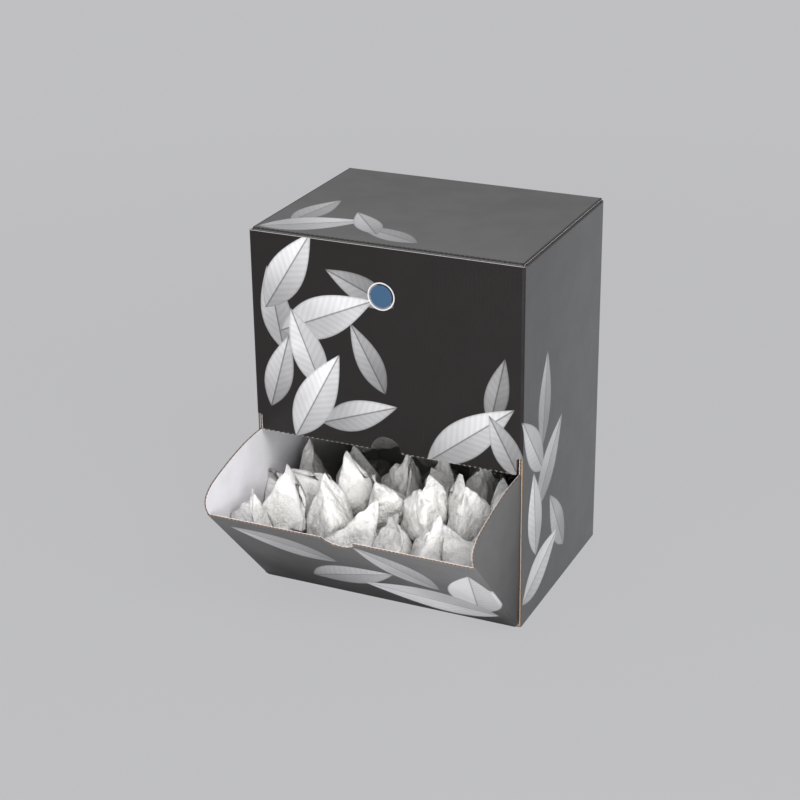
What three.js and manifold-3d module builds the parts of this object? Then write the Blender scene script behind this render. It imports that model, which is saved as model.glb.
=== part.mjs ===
import * as THREE from "three";
import { mergeVertices } from "three/addons/utils/BufferGeometryUtils.js";
import Module from "manifold-3d";

// A dispenser carton of thin corrugated board, filled with pyramid tea bags.
// Millimetres, +Z up, the front faces -Y, the origin is the centre of the underside.

const wasm = await Module();
wasm.setup();

// Carton
const WIDTH = 225;
const DEPTH = 173;
const HEIGHT = 298;
const BOARD = 1.5;
const FOLD = 2.2; // outer radius of a fold
const GAP = 0.3; // between pieces that touch in use
const FRONT = -DEPTH / 2;
const BACK = DEPTH / 2;
const SIDE = WIDTH / 2;
const BODY_TOP = HEIGHT - BOARD - GAP; // top of the walls and of the dust flaps
const MOUTH = 131.2; // lower edge of the front panel
const MOUTH_CUT = FRONT + BOARD + 0.8; // how far back the torn strip goes
const FINGER_HALF = 12.5;
const FINGER_RISE = 12;
const SLOT_WIDTH = 5;
const SLOT_TOP = 144.5;
const NICK_PITCH = 4.3;
const NICK_WIDTH = 1.1;
const NICK_TALL = 0.35;

// Tray
const HINGE_Y = FRONT + BOARD / 2;
const HINGE_Z = BOARD / 2;
const OPEN_ANGLE = 43;
const LIP = 129.4; // hinge to lip along the flap
const EAR_SIDE = SIDE - BOARD - 0.4;
const LIP_FINGER_HALF = 13;
const LIP_FINGER_DEEP = 13;

// Lid
const LID_SIDE = SIDE - 2;
const TUCK_FACE = FRONT + BOARD + 0.9;
const TUCK_LENGTH = 25;
const TUCK_LEAN = 4.5;

// Tea bags
const SEAM = 53; // length of each seal
const BAG_RISE = 43; // between the two seals
const FIN = 5; // flat margin outside each seal
const FIN_HALF = 0.5;
const BAG_AROUND = 12;
const BAG_RINGS = [0.07, 0.2, 0.35, 0.5, 0.65, 0.8, 0.93];
const BAG_SIDE = EAR_SIDE - BOARD - 0.5;
const HEAP_RADIUS = 128; // tray bags stay inside this, so that the tray can close
const HEAP_ANGLE = 49; // and above this slope behind the hinge
const STORE_FRONT = FRONT + 130.7;
const STORE_BACK = BACK - BOARD - GAP;
const STORE_FLOOR = 2 * BOARD + GAP;

const root = new THREE.Group();
root.name = "dispenser_box";

const printedBoard = { color: 0x2a2625, roughness: 0.45 };
const bagFleece = { color: 0xe6e5e2, roughness: 0.9 };

const degrees = THREE.MathUtils.degToRad;

// A closed three.js geometry as a solid that can be joined and cut.
function solidOf(geometry) {
  const bare = new THREE.BufferGeometry();
  const flat = geometry.index ? geometry.toNonIndexed() : geometry;
  bare.setAttribute("position", flat.getAttribute("position"));
  const merged = mergeVertices(bare, 1e-4);
  return new wasm.Manifold(
    new wasm.Mesh({
      numProp: 3,
      vertProperties: new Float32Array(merged.attributes.position.array),
      triVerts: new Uint32Array(merged.index.array),
    }),
  );
}

function geometryOf(solid) {
  const mesh = solid.getMesh();
  const places = new Float32Array(mesh.numVert * 3);
  for (let i = 0; i < mesh.numVert; i++) {
    const start = i * mesh.numProp;
    places.set(mesh.vertProperties.subarray(start, start + 3), i * 3);
  }
  const geometry = new THREE.BufferGeometry();
  geometry.setAttribute("position", new THREE.BufferAttribute(places, 3));
  geometry.setIndex(new THREE.BufferAttribute(mesh.triVerts, 1));
  return geometry.toNonIndexed();
}

function addMesh(name, geometry, look) {
  geometry.computeVertexNormals();
  const material = new THREE.MeshStandardMaterial({ metalness: 0, ...look });
  material.name = name + "_material";
  const mesh = new THREE.Mesh(geometry, material);
  mesh.name = name;
  root.add(mesh);
}

// Outlines are lists of [a, b], counter-clockwise.
function extruded(outline, length, basis, at) {
  const shape = new THREE.Shape(outline.map(([a, b]) => new THREE.Vector2(a, b)));
  const geometry = new THREE.ExtrudeGeometry(shape, {
    depth: length,
    bevelEnabled: false,
    curveSegments: 1,
  });
  geometry.applyMatrix4(basis);
  geometry.translate(...at);
  return solidOf(geometry);
}

const ALONG_X = new THREE.Matrix4().makeBasis(
  new THREE.Vector3(0, 1, 0),
  new THREE.Vector3(0, 0, 1),
  new THREE.Vector3(1, 0, 0),
);
const ALONG_Y = new THREE.Matrix4().makeBasis(
  new THREE.Vector3(1, 0, 0),
  new THREE.Vector3(0, 0, 1),
  new THREE.Vector3(0, -1, 0),
);
const ALONG_Z = new THREE.Matrix4();

const prismX = (outlineYZ, x0, x1) => extruded(outlineYZ, x1 - x0, ALONG_X, [x0, 0, 0]);
const prismY = (outlineXZ, y0, y1) => extruded(outlineXZ, y1 - y0, ALONG_Y, [0, y1, 0]);
const prismZ = (outlineXY, z0, z1) => extruded(outlineXY, z1 - z0, ALONG_Z, [0, 0, z0]);

function rectangle(a0, b0, a1, b1) {
  return [[a0, b0], [a1, b0], [a1, b1], [a0, b1]];
}

const box = (x0, y0, z0, x1, y1, z1) => prismZ(rectangle(x0, y0, x1, y1), z0, z1);

// An arc about (a, b), both ends included.
function arc(a, b, radius, from, to, steps) {
  const points = [];
  for (let i = 0; i <= steps; i++) {
    const angle = degrees(from + ((to - from) * i) / steps);
    points.push([a + radius * Math.cos(angle), b + radius * Math.sin(angle)]);
  }
  return points;
}

function roundedRectangle(a0, b0, a1, b1, radius) {
  return [
    ...arc(a1 - radius, b0 + radius, radius, -90, 0, 4),
    ...arc(a1 - radius, b1 - radius, radius, 0, 90, 4),
    ...arc(a0 + radius, b1 - radius, radius, 90, 180, 4),
    ...arc(a0 + radius, b0 + radius, radius, 180, 270, 4),
  ];
}

// Half an ellipse standing on its chord: side +1 rises from the chord, -1 hangs under it.
function halfMoon(a, b, half, rise, side) {
  const points = [];
  for (let i = 0; i <= 14; i++) {
    const angle = (Math.PI * i) / 14;
    points.push([a + half * Math.cos(angle), b + side * rise * Math.sin(angle)]);
  }
  points.push([a - half, b - side * 3], [a + half, b - side * 3]);
  return side > 0 ? points : points.reverse();
}

const mirrored = (outline) => outline.map(([a, b]) => [-a, b]).reverse();

// The places where the bridges of the tear line were, clear of the corners and the half-moon.
function nickPlaces() {
  const places = [];
  for (let x = NICK_PITCH / 2; x < SIDE - SLOT_WIDTH - 2; x += NICK_PITCH) {
    if (x > LIP_FINGER_HALF + 1) places.push(x, -x);
  }
  return places;
}

// Carton body: four walls, bottom, the glued seam and the two dust flaps, all one folded sheet.
function cartonBody() {
  let body = prismZ(roundedRectangle(-SIDE, FRONT, SIDE, BACK, FOLD), 0, BODY_TOP).subtract(
    prismZ(
      roundedRectangle(
        -SIDE + BOARD,
        FRONT + BOARD,
        SIDE - BOARD,
        BACK - BOARD,
        FOLD - BOARD,
      ),
      -1,
      BODY_TOP + 1,
    ),
  );
  const outside = FRONT - 1;
  body = body.subtract(box(-SIDE - 1, outside, -1, SIDE + 1, MOUTH_CUT, MOUTH));
  body = body.subtract(
    prismY(halfMoon(0, MOUTH, FINGER_HALF, FINGER_RISE, 1), outside, FRONT + BOARD + 1),
  );

  // A slot at each end of the edge lets the ears' round shoulders pass.
  const slotMiddle = SIDE - SLOT_WIDTH + 2;
  const slot = [
    [slotMiddle - 2, MOUTH - 1],
    [SIDE + 1, MOUTH - 1],
    [SIDE + 1, SLOT_TOP],
    ...arc(slotMiddle, SLOT_TOP - 2, 2, 90, 180, 4),
  ];
  body = body.subtract(prismY(slot, outside, MOUTH_CUT));
  body = body.subtract(prismY(mirrored(slot), outside, MOUTH_CUT));
  for (const x of nickPlaces()) {
    body = body.add(
      box(
        x - NICK_WIDTH / 2,
        FRONT,
        MOUTH - NICK_TALL,
        x + NICK_WIDTH / 2,
        FRONT + BOARD,
        MOUTH + 0.5,
      ),
    );
  }

  // Bottom panel, and the two minor flaps glued on its inside.
  const bottomFront = HINGE_Y + BOARD / 2 + GAP;
  body = body.add(box(-SIDE + 0.5, bottomFront, 0, SIDE - 0.5, BACK - 0.5, BOARD));
  const minor = [
    [SIDE - 0.5, FRONT + 27],
    [SIDE - 0.5, BACK - 5],
    [18, BACK - 10],
    [14, BACK - 16],
    [14, FRONT + 40],
    [18, FRONT + 34],
  ];
  body = body.add(prismZ(minor, BOARD - 0.1, 2 * BOARD));
  body = body.add(prismZ(mirrored(minor), BOARD - 0.1, 2 * BOARD));

  // Glue tab of the seam, inside the back panel.
  const tab = [
    [-SIDE + 0.5, 6],
    [-SIDE + 24, 12],
    [-SIDE + 24, BODY_TOP - 14],
    [-SIDE + 0.5, BODY_TOP - 8],
  ];
  body = body.add(prismY(tab, BACK - 2 * BOARD, BACK - 0.5));

  // Dust flaps fold in from the tops of the sides, under the lid.
  const dust = [
    [SIDE - 0.5, FRONT + 8],
    [SIDE - 0.5, BACK - 4],
    [52, BACK - 9],
    [46, BACK - 16],
    [46, FRONT + 24],
    [52, FRONT + 15],
  ];
  body = body.add(prismZ(dust, BODY_TOP - BOARD, BODY_TOP));
  body = body.add(prismZ(mirrored(dust), BODY_TOP - BOARD, BODY_TOP));
  const foldWedge = [
    [SIDE - FOLD, BODY_TOP + 1],
    ...arc(SIDE - FOLD, BODY_TOP - FOLD, FOLD, 90, 0, 4),
    [SIDE + 1, BODY_TOP - FOLD],
    [SIDE + 1, BODY_TOP + 1],
  ];
  body = body.subtract(prismY(foldWedge.reverse(), FRONT + 4, BACK - 3));
  body = body.subtract(prismY(mirrored(foldWedge), FRONT + 4, BACK - 3));
  return body;
}

// Lid: the top panel, its rolled fold at the back and the tuck flap at the front.
function lid() {
  const hingeY = BACK - BOARD / 2;
  const hingeZ = HEIGHT - BOARD / 2;
  const lean = degrees(TUCK_LEAN);
  const foldY = TUCK_FACE + FOLD;
  const foldZ = HEIGHT - FOLD;
  const faceTop = [TUCK_FACE, foldZ];
  const down = [Math.sin(lean) * TUCK_LENGTH, -Math.cos(lean) * TUCK_LENGTH];
  const profile = [
    ...arc(hingeY, hingeZ, BOARD / 2, -90, 90, 8),
    ...arc(foldY, foldZ, FOLD, 90, 180, 5),
    [faceTop[0] + down[0], faceTop[1] + down[1]],
    [faceTop[0] + down[0] + BOARD, faceTop[1] + down[1] + 0.2],
    ...arc(foldY, foldZ, FOLD - BOARD, 180, 90, 4),
  ];
  let made = prismX(profile, -LID_SIDE, LID_SIDE);
  const tuckBottom = HEIGHT - FOLD - TUCK_LENGTH - 2;
  const corner = [
    [LID_SIDE + 1, tuckBottom],
    [LID_SIDE + 1, HEIGHT - 6],
    [LID_SIDE - 3, HEIGHT - 6],
    ...arc(LID_SIDE - 16, tuckBottom + 14, 12, 0, -90, 6),
    [LID_SIDE - 16, tuckBottom],
  ].reverse();
  made = made.subtract(prismY(corner, FRONT, FRONT + 12));
  made = made.subtract(prismY(mirrored(corner), FRONT, FRONT + 12));
  return made;
}

// One ear's edge as [angle behind the flap, distance from the hinge], tray closed.
const EAR_EDGE = [
  [0.4, 130],
  [1.2, 136],
  [2.8, 140.6],
  [4.8, 142.3],
  [8, 142],
  [12, 139.4],
  [17, 136.4],
  [23, 133.8],
  [31, 131.6],
  [38, 130.4],
  [43.6, 130],
];
const EAR_HOOK = [
  [43.65, 132],
  [43.62, 149],
  [44.6, 150.5],
  [48, 150],
  [52, 144],
  [58, 136],
  [68, 131],
  [78, 128],
  [82, 124],
  [84, 116],
];

const polar = ([angle, radius]) => [
  HINGE_Y + radius * Math.sin(degrees(angle)),
  HINGE_Z + radius * Math.cos(degrees(angle)),
];

// Tray: the torn front flap with its two ears, made closed and then turned open.
function tray() {
  const reach = HINGE_Y + 156;
  const inside = EAR_SIDE - BOARD;
  const channel = [
    [EAR_SIDE, reach],
    [inside, reach],
    ...arc(inside - 0.7, FRONT + FOLD, 0.7, 0, -90, 3),
    ...arc(-inside + 0.7, FRONT + FOLD, 0.7, -90, -180, 3),
    [-inside, reach],
    [-EAR_SIDE, reach],
    ...arc(-EAR_SIDE + FOLD, FRONT + FOLD, FOLD, 180, 270, 4),
    ...arc(EAR_SIDE - FOLD, FRONT + FOLD, FOLD, -90, 0, 4),
  ];
  const curve = new THREE.SplineCurve(EAR_EDGE.map((p) => new THREE.Vector2(...polar(p))));
  const edge = curve.getPoints(30).map((p) => [p.x, p.y]);
  const ear = [
    [FRONT - 0.1, HINGE_Z + 2.4],
    [HINGE_Y + 12, HINGE_Z + 2.4],
    [HINGE_Y + 26, HINGE_Z + 3],
    ...[...EAR_HOOK].reverse().map(polar),
    ...edge.reverse(),
    [FRONT - 0.1, HINGE_Z + LIP],
  ];
  const flap = rectangle(FRONT - 0.1, HINGE_Z + 0.2, FRONT + FOLD - 0.2, HINGE_Z + LIP);
  const ends = prismX(ear, -SIDE, SIDE);
  const middle = prismX(flap, -inside + 0.2, inside - 0.2);
  let made = prismZ(channel, 0, 160).intersect(ends.add(middle));
  const rollHalf = EAR_SIDE - FOLD;
  made = made.add(
    prismX(arc(HINGE_Y, HINGE_Z, BOARD / 2, 0, 345, 23), -rollHalf, rollHalf),
  );
  made = made.subtract(
    prismY(
      halfMoon(0, HINGE_Z + LIP, LIP_FINGER_HALF, LIP_FINGER_DEEP, -1),
      FRONT - 1,
      FRONT + BOARD + 1,
    ),
  );
  const lipTop = HINGE_Z + LIP;
  for (const x of nickPlaces()) {
    made = made.add(
      box(
        x - NICK_WIDTH / 2,
        FRONT,
        lipTop - 0.5,
        x + NICK_WIDTH / 2,
        FRONT + BOARD,
        lipTop + NICK_TALL,
      ),
    );
  }
  const geometry = geometryOf(made);
  geometry.translate(0, -HINGE_Y, -HINGE_Z);
  geometry.rotateX(degrees(OPEN_ANGLE));
  geometry.translate(0, HINGE_Y, HINGE_Z);
  return geometry;
}

// Each bag: middle x, y, z, then the turns about z, x and y in degrees.
const TRAY_BAGS = [
  // left end of the front row, low by the lip
  [-92, -140, 70, 20, 60, 10],
  [-76, -114, 77, 65, 50, 12],
  [-62, -79, 73, 96, 8, -10],
  [-35, -114, 76, 140, 48, 14],
  [-30, -79, 82, 80, 38, 0],
  [1, -90, 86, 205, 24, 22],
  [-7, -125, 73, 60, 76, 18],
  [26, -131, 71, 35, 12, 8],
  [54, -134, 69, 110, 68, 15],
  [84, -130, 73, 72, 4, -12],
  [37, -96, 87, 160, 46, -20],
  [68, -88, 88, 236, 50, 10],
  [94, -70, 80, 300, 55, 0],
  // back of the heap, in the shade of the carton
  [-2, -50, 80, 20, 50, 12],
  [60, -43, 77, 170, 45, -10],
  [28, -46, 77, 75, 50, 0],
  [-49, -49, 69, 120, 55, 10],
  [-86, -48, 68, 40, 40, 0],
  [94, -36, 68, 220, 60, 0],
  [-92, -82, 62, 80, 15, 0],
  [98, -104, 72, 20, 40, 10],
  // under the heap
  [-82, -96, 38, 10, 20, 0],
  [-40, -94, 40, 100, 70, 10],
  [3, -95, 42, 50, 62, 0],
  [46, -96, 44, 140, 60, -10],
  [88, -94, 38, 80, 30, 0],
];
const STORE_BAGS = [
  [-82, 64, 26, 30, 80, 0],
  [-27, 64, 22, 100, 78, 10],
  [28, 64, 26, 60, 30, 0],
  [82, 64, 25, 150, 70, 0],
  [-80, 63, 68, 80, 40, 10],
  [-26, 65, 70, 20, 60, 0],
  [29, 63, 60, 130, 40, -10],
  [81, 65, 68, 50, 50, 0],
];

// Half-spaces as {normal, limit}: a point p is inside when normal . p <= limit.
function plane(nx, ny, nz, limit) {
  return { normal: new THREE.Vector3(nx, ny, nz), limit };
}

function trayWalls() {
  const open = degrees(OPEN_ANGLE);
  const slope = degrees(HEAP_ANGLE);
  const flapNormal = [0, -Math.cos(open), -Math.sin(open)];
  const slopeNormal = [0, Math.sin(slope), -Math.cos(slope)];
  const atHinge = (n) => n[1] * HINGE_Y + n[2] * HINGE_Z;
  return [
    plane(1, 0, 0, BAG_SIDE),
    plane(-1, 0, 0, BAG_SIDE),
    plane(...flapNormal, atHinge(flapNormal) - BOARD / 2 - GAP),
    plane(...slopeNormal, atHinge(slopeNormal)),
  ];
}

function storeWalls([x]) {
  const back = x < -60 ? STORE_BACK - BOARD : STORE_BACK; // the glue tab is on the left
  return [
    plane(1, 0, 0, BAG_SIDE),
    plane(-1, 0, 0, BAG_SIDE),
    plane(0, -1, 0, -STORE_FRONT),
    plane(0, 1, 0, back),
    plane(0, 0, -1, -STORE_FLOOR),
  ];
}

// The plane half way to each neighbour, less half the gap.
function cellWalls(middle, others) {
  return others.map((other) => {
    const normal = other.clone().sub(middle);
    const half = normal.length() / 2;
    normal.normalize();
    return { normal, limit: normal.dot(middle) + half - GAP / 2 };
  });
}

// Share of the way from the middle to the point at which the first wall is met, at most 1.
function shareInside(middle, point, walls, radius) {
  const way = point.clone().sub(middle);
  let share = 1;
  for (const { normal, limit } of walls) {
    const rise = normal.dot(way);
    if (rise > 1e-9) share = Math.min(share, (limit - normal.dot(middle)) / rise);
  }
  if (radius) {
    const y = middle.y - HINGE_Y;
    const z = middle.z - HINGE_Z;
    const a = way.y * way.y + way.z * way.z;
    const b = y * way.y + z * way.z;
    const c = y * y + z * z - radius * radius;
    if (a > 1e-9) share = Math.min(share, (-b + Math.sqrt(b * b - a * c)) / a);
  }
  return share;
}

// A tube of fleece sealed flat across one end and flat the other way at the other end.
function bagRings() {
  const rings = [];
  const ring = (a, b, z) => {
    const points = [];
    for (let i = 0; i < BAG_AROUND; i++) {
      const angle = (2 * Math.PI * (i + 0.5)) / BAG_AROUND;
      points.push(new THREE.Vector3(a * Math.cos(angle), b * Math.sin(angle), z));
    }
    rings.push(points);
  };
  const half = BAG_RISE / 2;
  ring(SEAM / 2, FIN_HALF, -half - FIN);
  ring(SEAM / 2, FIN_HALF, -half);
  for (const u of BAG_RINGS) {
    const a = (SEAM / 2) * (1 - u) ** 0.66;
    const b = (SEAM / 2) * u ** 0.66;
    ring(a, b, BAG_RISE * (u - 0.5));
  }
  ring(FIN_HALF, SEAM / 2, half);
  ring(FIN_HALF, SEAM / 2, half + FIN);
  return rings;
}

function bagGeometry(place, neighbours, walls, radius) {
  const [x, y, z, yaw, pitch, roll] = place;
  const middle = new THREE.Vector3(x, y, z);
  const turn = new THREE.Matrix4().makeRotationZ(degrees(yaw));
  turn.multiply(new THREE.Matrix4().makeRotationX(degrees(pitch)));
  turn.multiply(new THREE.Matrix4().makeRotationY(degrees(roll)));
  const others = neighbours
    .filter((other) => other !== place)
    .map((other) => new THREE.Vector3(other[0], other[1], other[2]));
  const limits = [...walls, ...cellWalls(middle, others)];
  const rings = bagRings().map((points) =>
    points.map((point) => {
      const moved = point.applyMatrix4(turn).add(middle);
      const share = shareInside(middle, moved, limits, radius);
      return moved.sub(middle).multiplyScalar(share).add(middle);
    }),
  );
  const places = [];
  const face = (p, q, r) => places.push(...p.toArray(), ...q.toArray(), ...r.toArray());
  for (let k = 0; k + 1 < rings.length; k++) {
    for (let i = 0; i < BAG_AROUND; i++) {
      const j = (i + 1) % BAG_AROUND;
      face(rings[k][i], rings[k][j], rings[k + 1][j]);
      face(rings[k][i], rings[k + 1][j], rings[k + 1][i]);
    }
  }
  const last = rings.length - 1;
  const centre = (points) =>
    points
      .reduce((sum, p) => sum.add(p), new THREE.Vector3())
      .divideScalar(points.length);
  const low = centre(rings[0]);
  const high = centre(rings[last]);
  for (let i = 0; i < BAG_AROUND; i++) {
    const j = (i + 1) % BAG_AROUND;
    face(low, rings[0][j], rings[0][i]);
    face(high, rings[last][i], rings[last][j]);
  }
  const geometry = new THREE.BufferGeometry();
  geometry.setAttribute("position", new THREE.Float32BufferAttribute(places, 3));
  return geometry;
}

addMesh("carton_body", geometryOf(cartonBody()), printedBoard);
addMesh("lid", geometryOf(lid()), { ...printedBoard, color: 0x3a3839 });
addMesh("tray", tray(), printedBoard);

let count = 0;
function addBags(bags, walls, radius) {
  for (const place of bags) {
    count += 1;
    const name = "tea_bag_" + String(count).padStart(2, "0");
    addMesh(name, bagGeometry(place, bags, walls(place), radius), bagFleece);
  }
}
addBags(TRAY_BAGS, trayWalls, HEAP_RADIUS);
addBags(STORE_BAGS, storeWalls, 0);

export default root;
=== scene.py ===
import math

import bpy
import numpy as np
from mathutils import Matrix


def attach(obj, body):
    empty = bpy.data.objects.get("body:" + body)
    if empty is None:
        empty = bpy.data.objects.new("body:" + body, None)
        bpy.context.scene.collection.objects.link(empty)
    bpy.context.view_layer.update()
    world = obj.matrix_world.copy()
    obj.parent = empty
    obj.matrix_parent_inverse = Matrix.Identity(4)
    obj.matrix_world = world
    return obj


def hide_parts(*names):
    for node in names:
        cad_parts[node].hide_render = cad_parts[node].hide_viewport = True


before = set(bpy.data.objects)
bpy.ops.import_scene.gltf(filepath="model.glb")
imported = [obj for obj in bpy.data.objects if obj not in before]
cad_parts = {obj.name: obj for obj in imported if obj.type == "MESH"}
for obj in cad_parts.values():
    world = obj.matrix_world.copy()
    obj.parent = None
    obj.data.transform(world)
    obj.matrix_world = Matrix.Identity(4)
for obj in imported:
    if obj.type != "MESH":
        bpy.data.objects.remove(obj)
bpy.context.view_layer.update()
MM = 0.001

# The photographer's camera.
# It stands to the right of the carton and above it, on a long lens.
camera_data = bpy.data.cameras.new("camera")
camera_data.lens = 85.68
camera_data.sensor_width = 36.0
camera_data.clip_end = 20.0
camera = bpy.data.objects.new("camera", camera_data)
camera.location = (0.56982, -1.29075, 0.75222)
camera.rotation_euler = tuple(math.radians(a) for a in (66.5415, 0.7076, 24.5286))
bpy.context.scene.collection.objects.link(camera)
bpy.context.scene.camera = camera
bpy.context.scene.view_settings.view_transform = "Standard"


# The studio.
# A pale sweep of floor, a wide soft box high on the right, a weaker one at the front and a low
# one that reaches under the tipped tray.
SWEEP_COLOR = (0.524, 0.524, 0.540)
FLOOR_PAINT = (0.52, 0.52, 0.535)
FLOOR_REACH = 6.0
GLOW_NEAR = 0.9
GLOW_FAR = 1.0
NEAR = 0.6
FAR = 1.4
ROOM_COLOR = (0.60, 0.60, 0.615)
ROOM_STRENGTH = 0.8


def soft_box(name, place, aim, size, power):
    """A rectangular area lamp at place, turned towards aim."""
    data = bpy.data.lights.new(name, "AREA")
    data.shape = "RECTANGLE"
    data.size, data.size_y = size
    data.energy = power
    lamp = bpy.data.objects.new(name, data)
    lamp.location = place
    way = [a - p for a, p in zip(aim, place)]
    flat = math.hypot(way[0], way[1])
    lamp.rotation_euler = (math.atan2(flat, -way[2]), 0.0, math.atan2(way[1], way[0]) - math.pi / 2)
    bpy.context.scene.collection.objects.link(lamp)


soft_box("key_soft_box", (1.45, -0.95, 1.65), (0.0, 0.0, 0.12), (1.2, 1.2), 24.5)
soft_box("front_soft_box", (-0.7, -1.7, 1.7), (0.0, -0.05, 0.1), (1.2, 0.9), 6.0)
soft_box("low_soft_box", (0.9, -1.9, 0.45), (0.0, -0.05, 0.08), (1.0, 0.7), 26.0)


def studio_floor():
    """A flat square under everything. The camera sees its glow, mixed with a tenth of what the
    lamps put on it up to NEAR metres away and none of that from FAR metres on."""
    mesh = bpy.data.meshes.new("floor")
    corners = [(x * FLOOR_REACH, y * FLOOR_REACH, 0) for x, y in ((-1, -1), (1, -1), (1, 1), (-1, 1))]
    mesh.from_pydata(corners, [], [(0, 1, 2, 3)])
    floor = bpy.data.objects.new("floor", mesh)
    floor.location.z = -0.0002
    bpy.context.scene.collection.objects.link(floor)
    material = bpy.data.materials.new("floor_sweep")
    material.use_nodes = True
    nodes, links = material.node_tree.nodes, material.node_tree.links
    nodes.clear()
    paint = nodes.new("ShaderNodeBsdfDiffuse")
    paint.inputs["Color"].default_value = (*FLOOR_PAINT, 1)
    glow = nodes.new("ShaderNodeEmission")
    glow.inputs["Color"].default_value = (*SWEEP_COLOR, 1)
    place = nodes.new("ShaderNodeTexCoord")
    away = nodes.new("ShaderNodeVectorMath")
    away.operation = "LENGTH"
    links.new(place.outputs["Object"], away.inputs[0])
    far = nodes.new("ShaderNodeMapRange")
    ends = (("From Min", NEAR), ("From Max", FAR), ("To Min", GLOW_NEAR), ("To Max", GLOW_FAR))
    for name, value in ends:
        far.inputs[name].default_value = value
    links.new(away.outputs["Value"], far.inputs["Value"])
    rays = nodes.new("ShaderNodeLightPath")
    share = nodes.new("ShaderNodeMath")
    share.operation = "MULTIPLY"
    links.new(rays.outputs["Is Camera Ray"], share.inputs[0])
    links.new(far.outputs["Result"], share.inputs[1])
    mix = nodes.new("ShaderNodeMixShader")
    links.new(share.outputs[0], mix.inputs[0])
    links.new(paint.outputs[0], mix.inputs[1])
    links.new(glow.outputs[0], mix.inputs[2])
    out = nodes.new("ShaderNodeOutputMaterial")
    links.new(mix.outputs[0], out.inputs[0])
    mesh.materials.append(material)


studio_floor()
world = bpy.data.worlds.new("room")
world.use_nodes = True
world.node_tree.nodes["Background"].inputs["Color"].default_value = (*ROOM_COLOR, 1)
world.node_tree.nodes["Background"].inputs["Strength"].default_value = ROOM_STRENGTH
bpy.context.scene.world = world


# The printed board of the carton.
# Micro-flute board 1.5 mm thick, black print under a satin film outside, white liner inside,
# brown where it is cut or torn.
WIDTH = 225 * MM
DEPTH = 173 * MM
HEIGHT = 298 * MM
BODY_TOP = HEIGHT - 1.8 * MM
MOUTH = 131.2 * MM
NICK_PITCH = 4.3 * MM
BOARD = 1.5 * MM
FOLD = 2.2 * MM
SIDE = WIDTH / 2
FRONT = -DEPTH / 2
BLACK = (0.0068, 0.0050, 0.0040)
LINER = (0.80, 0.79, 0.82)
KRAFT = (0.30, 0.185, 0.105)
# Painted shade in the hollows between the flutes of a cut edge.
FLUTE_HOLLOW_SHADE = (0.085, 0.05, 0.03)
PRINT_ENDS = (0.26 * MM, 0.34 * MM)
LINER_STARTS = (1.14 * MM, 1.24 * MM)
SATIN = 0.34
MATT = 0.85
FLUTE_PITCH = 3.3 * MM
VEIN_PITCH = 6.2 * MM
LEAF_WHITE = (0.84, 0.84, 0.85)
BADGE_BLUE = (0.036, 0.092, 0.175)
BADGE_X = -2 * MM
BADGE_Z = 258 * MM
BADGE_RADIUS = (8.6 * MM, 9.2 * MM)
RING_RADIUS = 10.6 * MM


class Field:
    """A number that varies over a surface: the socket of a chain of math nodes."""

    def __init__(self, tree, socket):
        self.tree = tree
        self.socket = socket

    def chain(self, kind, *others, swap=False):
        node = self.tree.nodes.new("ShaderNodeMath")
        node.operation = kind
        values = [self, *others]
        if swap:
            values.reverse()
        for place, value in enumerate(values):
            if isinstance(value, Field):
                self.tree.links.new(value.socket, node.inputs[place])
            else:
                node.inputs[place].default_value = value
        return Field(self.tree, node.outputs[0])

    def __add__(self, other):
        return self.chain("ADD", other)

    __radd__ = __add__

    def __sub__(self, other):
        return self.chain("SUBTRACT", other)

    def __rsub__(self, other):
        return self.chain("SUBTRACT", other, swap=True)

    def __mul__(self, other):
        return self.chain("MULTIPLY", other)

    __rmul__ = __mul__

    def __abs__(self):
        return self.chain("ABSOLUTE")

    def least(self, other):
        return self.chain("MINIMUM", other)

    def most(self, other):
        return self.chain("MAXIMUM", other)

    def sine(self):
        return self.chain("SINE")

    def over(self, other):
        return self.chain("GREATER_THAN", other)

    def rise(self, start, end, low=0.0, high=1.0):
        """From low at start to high at end, with soft ends."""
        node = self.tree.nodes.new("ShaderNodeMapRange")
        node.interpolation_type = "SMOOTHSTEP"
        self.tree.links.new(self.socket, node.inputs["Value"])
        for name, value in zip(("From Min", "From Max", "To Min", "To Max"), (start, end, low, high)):
            node.inputs[name].default_value = value
        return Field(self.tree, node.outputs[0])


def coordinates(tree):
    """The piece's own x, y and z in metres, as three fields."""
    texture = tree.nodes.new("ShaderNodeTexCoord")
    split = tree.nodes.new("ShaderNodeSeparateXYZ")
    tree.links.new(texture.outputs["Object"], split.inputs[0])
    return tuple(Field(tree, s) for s in split.outputs)


def noise(tree, scale, detail=3.0, stretch=(1, 1, 1)):
    """Smooth noise over Object coordinates, finer along an axis with a larger stretch."""
    texture = tree.nodes.new("ShaderNodeTexCoord")
    mapping = tree.nodes.new("ShaderNodeMapping")
    mapping.inputs["Scale"].default_value = stretch
    grain = tree.nodes.new("ShaderNodeTexNoise")
    grain.inputs["Scale"].default_value = scale
    grain.inputs["Detail"].default_value = detail
    tree.links.new(texture.outputs["Object"], mapping.inputs[0])
    tree.links.new(mapping.outputs[0], grain.inputs["Vector"])
    return Field(tree, grain.outputs[0])


def blended(tree, share, first, second):
    """A colour between first and second; each is a tuple or a socket."""
    node = tree.nodes.new("ShaderNodeMix")
    node.data_type = "RGBA"
    tree.links.new(share.socket, node.inputs[0])
    for place, color in ((6, first), (7, second)):
        if isinstance(color, tuple):
            node.inputs[place].default_value = (*color, 1)
        else:
            tree.links.new(color, node.inputs[place])
    return node.outputs[2]


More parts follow.
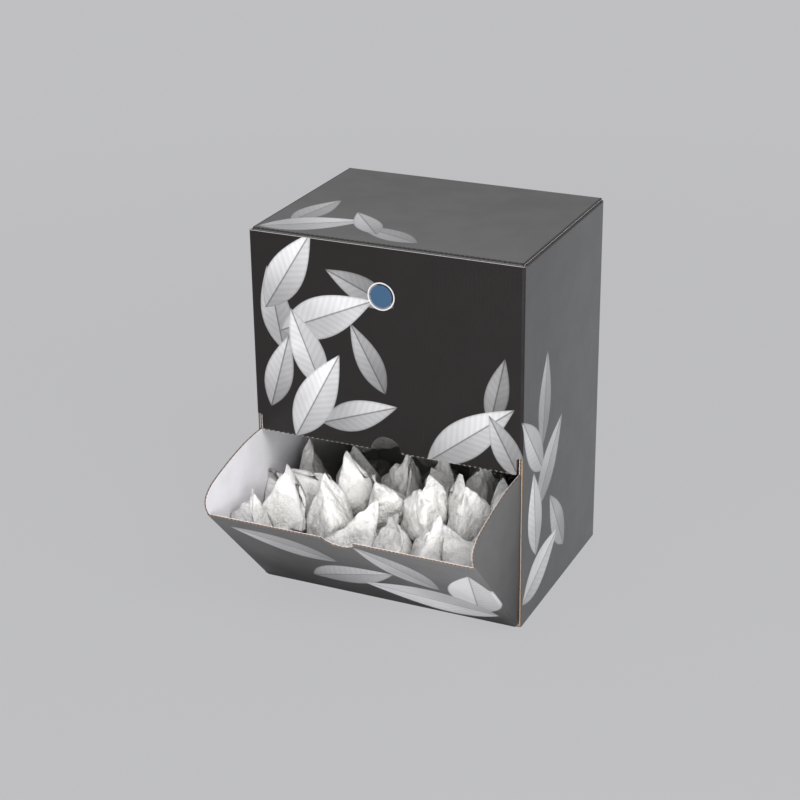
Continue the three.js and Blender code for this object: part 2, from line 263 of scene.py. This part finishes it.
def leaf(u, v, middle, turn, length, width, bright):
    """A printed leaf: with t from -1 at the stalk to 1 at the tip, its half-width is
    (1 - t squared)(1 - 0.3 t) of half its width. The pale blade darkens on one side of a thin
    midrib, towards its stalk and towards its rim, and slanting veins cross it."""
    cos, sin = math.cos(math.radians(turn)), math.sin(math.radians(turn))
    across_u = u - middle[0]
    across_v = v - middle[1]
    along = across_u * cos + across_v * sin
    across = across_v * cos - across_u * sin
    t = along * (2 / length)
    half = (1 - t * t) * (1 - 0.3 * t).most(0.1) * (width / 2)
    off = abs(across)
    inside = half - off
    blade = inside.rise(0.0, 0.7 * MM)
    one_side = across.rise(-0.4 * MM, 0.4 * MM, 0.74, 1.0)
    rib = off.rise(0.25 * MM, 0.9 * MM, 0.4, 1.0)
    veins = ((along - off * 0.9) * (2 * math.pi / VEIN_PITCH)).sine() * 0.045 + 0.955
    fade = t.rise(-1.1, 0.7, 0.56, 1.0) * inside.rise(0.0, 2.5 * MM, 0.72, 1.0)
    return blade, one_side * rib * veins * fade * bright


def leaves(u, v, table):
    """The tones of all leaves in the table, each one printed over those before it."""
    total = u * 0
    mottled = noise(u.tree, 26.0, 4.0).rise(0.3, 0.7, 0.84, 1.06)
    for x, y, turn, length, width, bright in table:
        blade, tone = leaf(u, v, (x * MM, y * MM), turn, length * MM, width * MM, bright)
        total = total * (1 - blade) + blade * tone
    return (total * mottled).least(1.0)


def brown_core(tree, grain):
    """Torn brown board: darker in the flutes' hollows, which is painted shade."""
    return blended(tree, grain.rise(0.15, 0.95), FLUTE_HOLLOW_SHADE, KRAFT)


def board_material(name, depth, printed, along, core=brown_core, liner=LINER):
    """Zones by depth under the outer face: print, then the core with its flutes, then liner.

    depth(tree) gives that depth in metres, printed(tree) the print's colour socket,
    along(tree) the place along the cut edge, for the flutes, and core(tree, grain) the cut
    edge's colour."""
    material = bpy.data.materials.new(name)
    material.use_nodes = True
    tree = material.node_tree
    shader = tree.nodes["Principled BSDF"]
    under = depth(tree)
    outer = under.rise(*PRINT_ENDS, 1.0, 0.0)
    inner = under.rise(*LINER_STARTS)
    flute = (along(tree) * (2 * math.pi / FLUTE_PITCH)).sine()
    fibre = noise(tree, 900.0, 4.0)
    edge = core(tree, flute * 0.35 + fibre)
    shade = tuple(c * 0.92 for c in liner)
    lining = blended(tree, noise(tree, 60.0, 5.0).rise(0.3, 0.8), shade, liner)
    skin = blended(tree, inner, edge, lining)
    color = blended(tree, outer, skin, printed(tree))
    tree.links.new(color, shader.inputs["Base Color"])
    rough = outer * (SATIN - MATT) + MATT + noise(tree, 35.0, 4.0).rise(0.3, 0.7, -0.03, 0.05)
    tree.links.new(rough.socket, shader.inputs["Roughness"])
    washboard = flute * 0.018 + noise(tree, 9.0, 2.0) * 1.2 + fibre * 0.03
    bump = tree.nodes.new("ShaderNodeBump")
    bump.inputs["Strength"].default_value = 0.55
    bump.inputs["Distance"].default_value = 0.0012
    tree.links.new(washboard.socket, bump.inputs["Height"])
    tree.links.new(bump.outputs[0], shader.inputs["Normal"])
    return material


def round_the_fold(from_side, from_end):
    """Depth under two walls and the quarter round between them: r less the root of the sum of
    the squares of what each distance lacks of r, with r the fold's outer radius."""
    a = (FOLD - from_side).most(0.0)
    b = (FOLD - from_end).most(0.0)
    return FOLD - (a * a + b * b).chain("SQRT")


def dress(node, material):
    """Gives a CAD node its finish."""
    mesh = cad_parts[node].data
    mesh.materials.clear()
    mesh.materials.append(material)


# Carton body.
# One folded and glued sheet: four walls, bottom and dust flaps. Its print is black with pale
# leaves that drift down the left of the front and round the right-hand corner.
FRONT_LEAVES = [
    (-20, 262, 158, 62, 22, 0.5),
    (-92, 236, 100, 70, 26, 0.7),
    (-80, 268, 58, 78, 30, 0.95),
    (-14, 206, 118, 62, 22, 0.55),
    (-90, 184, 74, 66, 24, 0.75),
    (-48, 236, 24, 88, 33, 1.0),
    (-66, 206, 112, 70, 28, 0.9),
    (-22, 158, 20, 70, 25, 0.7),
    (-58, 168, 62, 86, 32, 1.0),
    (92, 196, 78, 58, 19, 0.42),
    (70, 156, 38, 92, 31, 0.8),
    (98, 152, 118, 56, 22, 0.6),
]
SIDE_LEAVES = [
    (-40, 176, 84, 78, 26, 0.5),
    (-64, 146, 128, 74, 28, 0.75),
    (-28, 118, 48, 82, 30, 0.62),
    (-58, 86, 96, 76, 30, 0.9),
    (-8, 58, 120, 70, 26, 0.6),
    (-44, 34, 22, 84, 31, 0.95),
]


def body_depth(tree):
    """The least of the depths under the walls, the bottom and, but for the front wall, the top
    edge. The corners are round where the sheet is folded and square where the front is cut out."""
    x, y, z = coordinates(tree)
    front_edge = y.rise(FRONT + 1.7 * MM, FRONT + 2.1 * MM, 10 * MM, 0.0)
    from_top = BODY_TOP - z + front_edge
    from_side = SIDE - abs(x)
    from_end = (y - FRONT).least(DEPTH / 2 - y)
    rounded = round_the_fold(from_side, from_end)
    folded = z.over(MOUTH).most(y.over(0.0))
    walls = rounded * folded + from_side.least(from_end) * (1 - folded)
    return walls.least(z).least(from_top)


def body_print(tree):
    """Black front, grey sides that are partly print and partly painted sheen, lighter towards the
    back, leaves on the front and the right, a roundel in a ring, and a frayed edge along the mouth."""
    x, y, z = coordinates(tree)
    front_tone = leaves(x, z, FRONT_LEAVES)
    side_tone = leaves(y, z, SIDE_LEAVES)
    on_side = (abs(x) - SIDE).rise(-1.9 * MM, -0.3 * MM)
    on_front = y.rise(FRONT + 1.0 * MM, FRONT + 2.4 * MM, 1.0, 0.0)
    # Painted sheen: the sides' grey, lighter towards the back, stands partly for the satin film's
    # reflection of the lamps.
    grey = blended(tree, y.rise(FRONT, DEPTH / 2), (0.076, 0.078, 0.08), (0.106, 0.109, 0.113))
    print_with_painted_light = blended(tree, on_side * (1 - on_front), BLACK, grey)
    tone = front_tone * on_front + side_tone * on_side * x.over(0.0)
    colored = blended(tree, tone, print_with_painted_light, LEAF_WHITE)
    beside, above = x - BADGE_X, z - BADGE_Z
    away = (beside * beside + above * above).chain("SQRT")
    badge = away.rise(*BADGE_RADIUS, 1.0, 0.0) * on_front
    ring = abs(away - RING_RADIUS).rise(0.35 * MM, 0.7 * MM, 1.0, 0.0) * on_front
    colored = blended(tree, badge, colored, BADGE_BLUE)
    colored = blended(tree, ring * 0.8, colored, LEAF_WHITE)
    nicks = (x * (2 * math.pi / NICK_PITCH)).sine().rise(0.2, 0.6)
    frayed = z.rise(MOUTH + 0.35 * MM, MOUTH + 0.7 * MM, 1.0, 0.0) * z.over(MOUTH - 1 * MM)
    return blended(tree, frayed * nicks * on_front * 0.75, colored, (0.50, 0.46, 0.43))


def body_along(tree):
    """The place along the flutes of upright walls and of the lid."""
    x, y, _ = coordinates(tree)
    return x + y


def body_core(tree, grain):
    """Brown where it is torn; on the top edge a painted highlight along the front and painted shade
    down the sides.
    """
    _, y, z = coordinates(tree)
    top = z.rise(HEIGHT - 3.4 * MM, HEIGHT - 2.6 * MM)
    at_front = y.rise(FRONT + 1.6 * MM, FRONT + 2.4 * MM, 1.0, 0.0)
    # Painted highlight on the front wall's top edge, painted shade on the side walls' top edges.
    top_edge_highlight_and_shade = blended(tree, at_front, (0.035, 0.033, 0.032), (0.62, 0.61, 0.60))
    return blended(tree, top, brown_core(tree, grain), top_edge_highlight_and_shade)


# The body's inner liner is a grey darker than the white liner: painted shade for the dim inside of
# the box.
dress(
    "carton_body",
    board_material(
        "carton_board", body_depth, body_print, body_along, body_core, liner=(0.58, 0.57, 0.565)
    ),
)

# Lid.
# The top panel hinges on the back wall and its tuck flap drops behind the front wall.
LID_LEAVES = [
    (-8, -60, 160, 62, 22, 0.5),
    (-84, -28, 78, 64, 24, 0.6),
    (-72, -58, 30, 84, 30, 0.9),
    (-34, -42, 130, 58, 21, 0.75),
]
GROOVE = 4.2 * MM
FLAP_FRONT = FRONT + BOARD + 0.9 * MM
FLAP_LEAN = math.radians(4.5)


def lid_depth(tree):
    """Depth under the top panel, or under the front face of the tuck flap, which leans back."""
    _, y, z = coordinates(tree)
    front_face = y - FLAP_FRONT - (HEIGHT - z) * math.tan(FLAP_LEAN)
    return (HEIGHT - z).least(front_face + 0.1 * MM).most(0.0)


def lid_print(tree):
    """Grey, partly print and partly painted sheen, lighter towards the front, with leaves; painted
    shade in a crease along the front, crushed by the flutes, and painted shade along the side edges.
    """
    x, y, z = coordinates(tree)
    # Painted sheen: the lid's grey, lighter towards the front, stands partly for the film's
    # reflection of the lamps.
    print_with_painted_light = blended(tree, y.rise(FRONT, DEPTH / 2), (0.098, 0.097, 0.097), (0.075, 0.074, 0.074))
    colored = blended(tree, leaves(x, y, LID_LEAVES), print_with_painted_light, LEAF_WHITE)
    crushed = (x * (2 * math.pi / GROOVE)).sine().rise(-0.2, 0.9, 1.0, 0.35)
    on_top = z.over(HEIGHT - 0.8 * MM)
    # Painted shade in the gap of the front fold, broken into dashes where the flutes show.
    crease = y.rise(FRONT + 3.2 * MM, FRONT + 5.2 * MM, 1.0, 0.0) * on_top
    # Painted shade of the gap between the lid's side edges and the side walls.
    edge = (abs(x) - SIDE).rise(-3.6 * MM, -2.8 * MM)
    return blended(tree, (crease * crushed).most(edge), colored, (0.012, 0.011, 0.011))


def lid_core(tree, grain):
    """The cut side edges of the lid, dark with painted shade of the gap beside the side walls."""
    return blended(tree, grain.rise(0.1, 0.9), (0.012, 0.010, 0.009), (0.035, 0.028, 0.024))


dress(
    "lid",
    board_material("lid_board", lid_depth, lid_print, body_along, lid_core, liner=(0.70, 0.69, 0.70)),
)

# Tray.
# The lower front, torn out along its perforation and tipped forward, with an ear folded back
# at each end. It is white inside and brown along the torn lip.
OPEN = math.radians(43)
HINGE_Y = FRONT + BOARD / 2
HINGE_Z = BOARD / 2
EAR_SIDE = SIDE - BOARD - 0.4 * MM
TRAY_LEAVES = [
    (-58, 96, 156, 88, 34, 0.7),
    (-14, 52, 28, 96, 36, 0.85),
    (36, 92, 128, 84, 34, 0.8),
    (92, 66, 80, 92, 42, 1.25),
    (46, 30, 172, 112, 48, 1.25),
]


def shut_coordinates(tree):
    """The tray's x, y and z as they are when it is shut: turned back about its hinge."""
    x, y, z = coordinates(tree)
    out, up = y - HINGE_Y, z - HINGE_Z
    cos, sin = math.cos(OPEN), math.sin(OPEN)
    return x, out * cos + up * sin + HINGE_Y, up * cos - out * sin + HINGE_Z


def tray_depth(tree):
    """Depth under the front and the ears of the shut tray, with a round fold between them."""
    x, y, _ = shut_coordinates(tree)
    return round_the_fold(EAR_SIDE - abs(x), y - FRONT).most(0.0)


def tray_print(tree):
    """Dark at the hinge and lighter towards the lip and the right, painted shade and painted sheen
    over the print, with leaves on the front.
    """
    x, y, z = shut_coordinates(tree)
    on_front = y.rise(FRONT + 1.0 * MM, FRONT + 2.4 * MM, 1.0, 0.0)
    # Painted sheen, lighter towards the right; below, painted shade darkens it down to the hinge.
    lit = blended(tree, x.rise(-SIDE, SIDE) * on_front, (0.108, 0.107, 0.106), (0.160, 0.159, 0.158))
    print_with_painted_light = blended(tree, z.rise(0.0, 130 * MM), (0.022, 0.0215, 0.021), lit)
    return blended(tree, leaves(x, z, TRAY_LEAVES) * on_front, print_with_painted_light, LEAF_WHITE)


def tray_along(tree):
    """The place along the flutes of front and ears, slanted so that the torn lip shows them."""
    x, y, z = shut_coordinates(tree)
    return x + y + z * 0.4


dress("tray", board_material("tray_board", tray_depth, tray_print, tray_along))

# Tea bags.
# Each is a short tube of white fleece, heat-sealed flat across one end and flat the other way
# across the other end, which makes a pyramid. They lie in a heap, pressed against each other.
# A place is x, y and z in mm and the turns about z, x and y in degrees.
SEAM = 53 * MM
PUFFED = 1.15 * SEAM
TAPER = 0.86
SQUARENESS = 5
PRESS = 26
BAG_RISE = 43 * MM
FIN = 5 * MM
FIN_HALF = 0.35 * MM
FIN_WAVE = 2.2 * MM
FIN_ROWS = 5
DENT_UNIT = 20 * MM
OCTAVES = 4
TINY = 1e-12
GAP = 0.3 * MM
BAG_SIDE = EAR_SIDE - BOARD - 0.5 * MM
HEAP_RADIUS = 128 * MM
HEAP_ANGLE = math.radians(49)
STORE_FRONT = FRONT + 130.7 * MM
STORE_BACK = DEPTH / 2 - BOARD - GAP
STORE_FLOOR = 2 * BOARD + GAP
TAB_EDGE = -60
FIRST_SEED = 40
FINE_BAGS = 21
FINE_GRID = (56, 96)
PLAIN_GRID = (24, 48)
FLEECE_WHITE = (0.84, 0.828, 0.808)
TEA_GREY = (0.25, 0.238, 0.215)
TRAY_BAGS = [
    (-92, -140, 70, 20, 60, 10),
    (-76, -114, 77, 65, 50, 12),
    (-62, -79, 73, 96, 8, -10),
    (-35, -114, 76, 140, 48, 14),
    (-30, -79, 82, 80, 38, 0),
    (1, -90, 86, 205, 24, 22),
    (-7, -125, 73, 60, 76, 18),
    (26, -131, 71, 35, 12, 8),
    (54, -134, 69, 110, 68, 15),
    (84, -130, 73, 72, 4, -12),
    (37, -96, 87, 160, 46, -20),
    (68, -88, 88, 236, 50, 10),
    (94, -70, 80, 300, 55, 0),
    (-2, -50, 80, 20, 50, 12),
    (60, -43, 77, 170, 45, -10),
    (28, -46, 77, 75, 50, 0),
    (-49, -49, 69, 120, 55, 10),
    (-86, -48, 68, 40, 40, 0),
    (94, -36, 68, 220, 60, 0),
    (-92, -82, 62, 80, 15, 0),
    (98, -104, 72, 20, 40, 10),
    (-82, -96, 38, 10, 20, 0),
    (-40, -94, 40, 100, 70, 10),
    (3, -95, 42, 50, 62, 0),
    (46, -96, 44, 140, 60, -10),
    (88, -94, 38, 80, 30, 0),
]
STORE_BAGS = [
    (-82, 64, 26, 30, 80, 0),
    (-27, 64, 22, 100, 78, 10),
    (28, 64, 26, 60, 30, 0),
    (82, 64, 25, 150, 70, 0),
    (-80, 63, 68, 80, 40, 10),
    (-26, 65, 70, 20, 60, 0),
    (29, 63, 60, 130, 40, -10),
    (81, 65, 68, 50, 50, 0),
]


def turned(place):
    """One matrix that turns about y, then x, then z, by the last three numbers of a place."""
    yaw, pitch, roll = (math.radians(a) for a in place[3:])
    cos_z, sin_z = math.cos(yaw), math.sin(yaw)
    cos_x, sin_x = math.cos(pitch), math.sin(pitch)
    cos_y, sin_y = math.cos(roll), math.sin(roll)
    about_z = np.array([[cos_z, -sin_z, 0], [sin_z, cos_z, 0], [0, 0, 1]])
    about_x = np.array([[1, 0, 0], [0, cos_x, -sin_x], [0, sin_x, cos_x]])
    about_y = np.array([[cos_y, 0, sin_y], [0, 1, 0], [-sin_y, 0, cos_y]])
    return about_z @ about_x @ about_y


def heap_walls(place):
    """Planes (normal, limit) that hold the tray's bags, wherever their place is: the ears, the
    tray's front and the slope behind."""
    flap = (0, -math.cos(OPEN), -math.sin(OPEN))
    slope = (0, math.sin(HEAP_ANGLE), -math.cos(HEAP_ANGLE))
    at_hinge = [n[1] * HINGE_Y + n[2] * HINGE_Z for n in (flap, slope)]
    return [
        ((1, 0, 0), BAG_SIDE),
        ((-1, 0, 0), BAG_SIDE),
        (flap, at_hinge[0] - BOARD / 2 - GAP),
        (slope, at_hinge[1]),
    ]


def store_walls(place):
    """Planes that hold the bags at the back: sides, bottom, the tray's reach and the back wall,
    which the glue tab thickens on the left."""
    back = STORE_BACK - BOARD if place[0] < TAB_EDGE else STORE_BACK
    return [
        ((1, 0, 0), BAG_SIDE),
        ((-1, 0, 0), BAG_SIDE),
        ((0, -1, 0), -STORE_FRONT),
        ((0, 1, 0), back),
        ((0, 0, -1), -STORE_FLOOR),
    ]


def bag_form(draw, rows, around):
    """A bag about its middle as rings from seal to seal, and each ring's place on a fin, from 0
    at the seal to 1 at the edge.

    At share u of the way the ring is a rounded rectangle with half-widths (1 - u) and u to the
    power TAPER of half a seal, so it is flat one way at one end and flat the other way at the
    other. Dents, a sum of triangle waves, and pleats near the seals draw it in by at most 0.3,
    and the fins wave a little."""
    inner = 0.5 - 0.5 * np.cos(np.linspace(0.06, 1 - 0.06, rows) * math.pi)
    u = np.concatenate([np.zeros(FIN_ROWS), inner, np.ones(FIN_ROWS)])
    fin = np.concatenate([np.linspace(1, 0, FIN_ROWS), np.zeros(rows), np.linspace(0, 1, FIN_ROWS)])
    end = np.where(u < 0.5, -1.0, 1.0)
    rise = BAG_RISE * (u - 0.5) + end * fin * FIN
    half_a = np.maximum(PUFFED / 2 * (1 - u) ** TAPER, FIN_HALF)
    half_b = np.maximum(PUFFED / 2 * u**TAPER, FIN_HALF)
    angle = 2 * math.pi * (np.arange(around) + 0.5) / around
    cos, sin = np.cos(angle), np.sin(angle)
    squared = (np.abs(cos) ** SQUARENESS + np.abs(sin) ** SQUARENESS) ** (-1 / SQUARENESS)
    flat = np.stack(
        [
            half_a[:, None] * cos * squared,
            half_b[:, None] * sin * squared,
            np.repeat(rise[:, None], around, axis=1),
        ],
        axis=-1,
    )
    scale = flat / DENT_UNIT
    dents = np.zeros(flat.shape[:2])
    for octave in range(OCTAVES):
        ways = draw.normal(size=(2, 3)) * (1.9 + 2.1 * octave)
        phases = draw.uniform(0, 2 * math.pi, 2)
        folds = np.arcsin(np.sin(scale @ ways.T + phases)) * (2 / math.pi)
        dents += folds.mean(axis=-1) / (1 + 0.6 * octave)
    body = np.clip(1 - fin * 2, 0, 1)[:, None]
    near_seal = np.exp(-np.minimum(u, 1 - u) / 0.16)[:, None]
    pleats = np.abs(np.sin(angle * 5 + draw.uniform(0, 6) + u[:, None] * 3)) * near_seal
    drawn_in = 1 - body * np.clip(0.08 + 0.14 * dents + 0.05 * pleats, 0, 0.3)
    shape = flat * drawn_in[..., None]
    wave = fin[:, None] ** 1.5 * FIN_WAVE
    for across, at_end in ((1, u < 0.5), (0, u > 0.5)):
        ripple = np.sin(flat[..., 1 - across] * draw.uniform(90, 150) + draw.uniform(0, 6))
        shape[..., across] += at_end[:, None] * wave * ripple
    return shape, fin


def bag_surface(place, others, walls, radius, grid, seed):
    """The points of one bag where it lies, and each ring's place on a fin. Every point is drawn
    towards the bag's middle until it is inside all planes: the walls, those halfway to the other
    bags and, if radius isn't 0, a round limit about the tray's hinge."""
    middle = np.array(place[:3]) * MM
    shape, fin = bag_form(np.random.default_rng(seed), *grid)
    way = shape @ turned(place).T
    limits = list(walls)
    for other in others:
        apart = np.array(other[:3]) * MM - middle
        far = np.linalg.norm(apart)
        normal = apart / far
        limits.append((normal, normal @ middle + far / 2 - GAP / 2))
    pressed = np.ones(way.shape[:2])
    for normal, limit in limits:
        climb = way @ np.array(normal)
        room = limit - np.dot(normal, middle)
        pressed += np.maximum(climb / room, 0) ** PRESS
    if radius:
        y, z = middle[1] - HINGE_Y, middle[2] - HINGE_Z
        a = way[..., 1] ** 2 + way[..., 2] ** 2 + TINY
        b = y * way[..., 1] + z * way[..., 2]
        c = y * y + z * z - radius * radius
        room = (-b + np.sqrt(b * b - a * c)) / a
        pressed += (1 / room) ** PRESS
    share = pressed ** (-1 / PRESS)
    return middle + way * share[..., None], fin


def bag_mesh(name, points, fin):
    """Quads between the rings and a fan on each end, with two attributes: seal rises to 1 on
    the fins, and tea rises to 1 towards the bottom of the bag, where the leaves lie."""
    rows, around = points.shape[:2]
    ring = np.arange(around)
    after = (ring + 1) % around
    base = (np.arange(rows - 1) * around)[:, None]
    quads = np.stack([base + ring, base + after, base + around + after, base + around + ring], -1)
    quads = quads.reshape(-1, 4)
    low, high = rows * around, rows * around + 1
    last = (rows - 1) * around
    caps = np.concatenate(
        [
            np.stack([np.full(around, low), after, ring], -1),
            np.stack([np.full(around, high), last + ring, last + after], -1),
        ]
    )
    ends = np.array([points[0].mean(axis=0), points[-1].mean(axis=0)])
    corners = np.concatenate([points.reshape(-1, 3), ends])
    mesh = bpy.data.meshes.new(name)
    mesh.from_pydata(corners.tolist(), [], quads.tolist() + caps.tolist())
    mesh.polygons.foreach_set("use_smooth", np.ones(len(mesh.polygons), dtype=bool))
    seal = np.concatenate([np.repeat(fin, around), [1, 1]])
    height = corners[:, 2] - corners[:, 2].mean()
    tea = np.clip(0.75 - height / (30 * MM), 0, 1) * (1 - np.clip(seal * 3, 0, 1))
    for key, values in (("seal", seal), ("tea", tea)):
        layer = mesh.attributes.new(key, "FLOAT", "POINT")
        layer.data.foreach_set("value", values.astype(np.float32))
    return mesh


def fleece_material():
    """White non-woven fleece: soft, matt, with short fibres, and grey where tea shows through."""
    material = bpy.data.materials.new("bag_fleece_white")
    material.use_nodes = True
    tree = material.node_tree
    shader = tree.nodes["Principled BSDF"]
    tea = tree.nodes.new("ShaderNodeAttribute")
    tea.attribute_name = "tea"
    inside = Field(tree, tea.outputs["Fac"])
    seal = tree.nodes.new("ShaderNodeAttribute")
    seal.attribute_name = "seal"
    x, y, z = coordinates(tree)
    ribs = ((x + y + z) * (2 * math.pi / (1.3 * MM))).sine() * Field(tree, seal.outputs["Fac"])
    specks = noise(tree, 900.0, 4.0).rise(0.36, 0.66)
    clouds = noise(tree, 48.0, 5.0).rise(0.40, 0.62)
    dark = inside * (clouds * 0.85 + 0.1) * (specks * 0.75 + 0.25)
    color = blended(tree, dark, FLEECE_WHITE, TEA_GREY)
    tree.links.new(color, shader.inputs["Base Color"])
    shader.inputs["Roughness"].default_value = 0.88
    shader.inputs["Specular IOR Level"].default_value = 0.25
    shader.inputs["Subsurface Weight"].default_value = 0.35
    shader.inputs["Subsurface Radius"].default_value = (1.0, 0.95, 0.9)
    shader.inputs["Subsurface Scale"].default_value = 0.004
    fibres = noise(tree, 1500.0, 3.0, (1, 0.25, 1)) + noise(tree, 1300.0, 3.0, (0.25, 1, 1))
    creased = abs(noise(tree, 70.0, 1.5) - 0.5) * 5.0 + abs(noise(tree, 150.0, 1.5) - 0.5) * 3.0
    crimp = noise(tree, 160.0, 4.0) * 0.7 + creased
    bump = tree.nodes.new("ShaderNodeBump")
    bump.inputs["Strength"].default_value = 0.85
    bump.inputs["Distance"].default_value = 0.0014
    tree.links.new((fibres * 0.25 + crimp * 1.1 + ribs * 0.05).socket, bump.inputs["Height"])
    tree.links.new(bump.outputs[0], shader.inputs["Normal"])
    return material


FLEECE = fleece_material()


def lay_bags(places, body, walls, radius, first):
    """Makes every bag of one group and hands it to its body."""
    for index, place in enumerate(places):
        name = f"tea_bag_{first + index:02d}"
        others = [other for other in places if other is not place]
        grid = FINE_GRID if first + index <= FINE_BAGS else PLAIN_GRID
        seed = FIRST_SEED + first + index
        surface = bag_surface(place, others, walls(place), radius, grid, seed)
        mesh = bag_mesh(name + "_fleece", *surface)
        mesh.materials.append(FLEECE)
        piece = bpy.data.objects.new(name + "_fleece", mesh)
        bpy.context.scene.collection.objects.link(piece)
        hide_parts(name)
        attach(piece, body)


lay_bags(TRAY_BAGS, "tray", heap_walls, HEAP_RADIUS, 1)
lay_bags(STORE_BAGS, "carton", store_walls, 0, 1 + len(TRAY_BAGS))
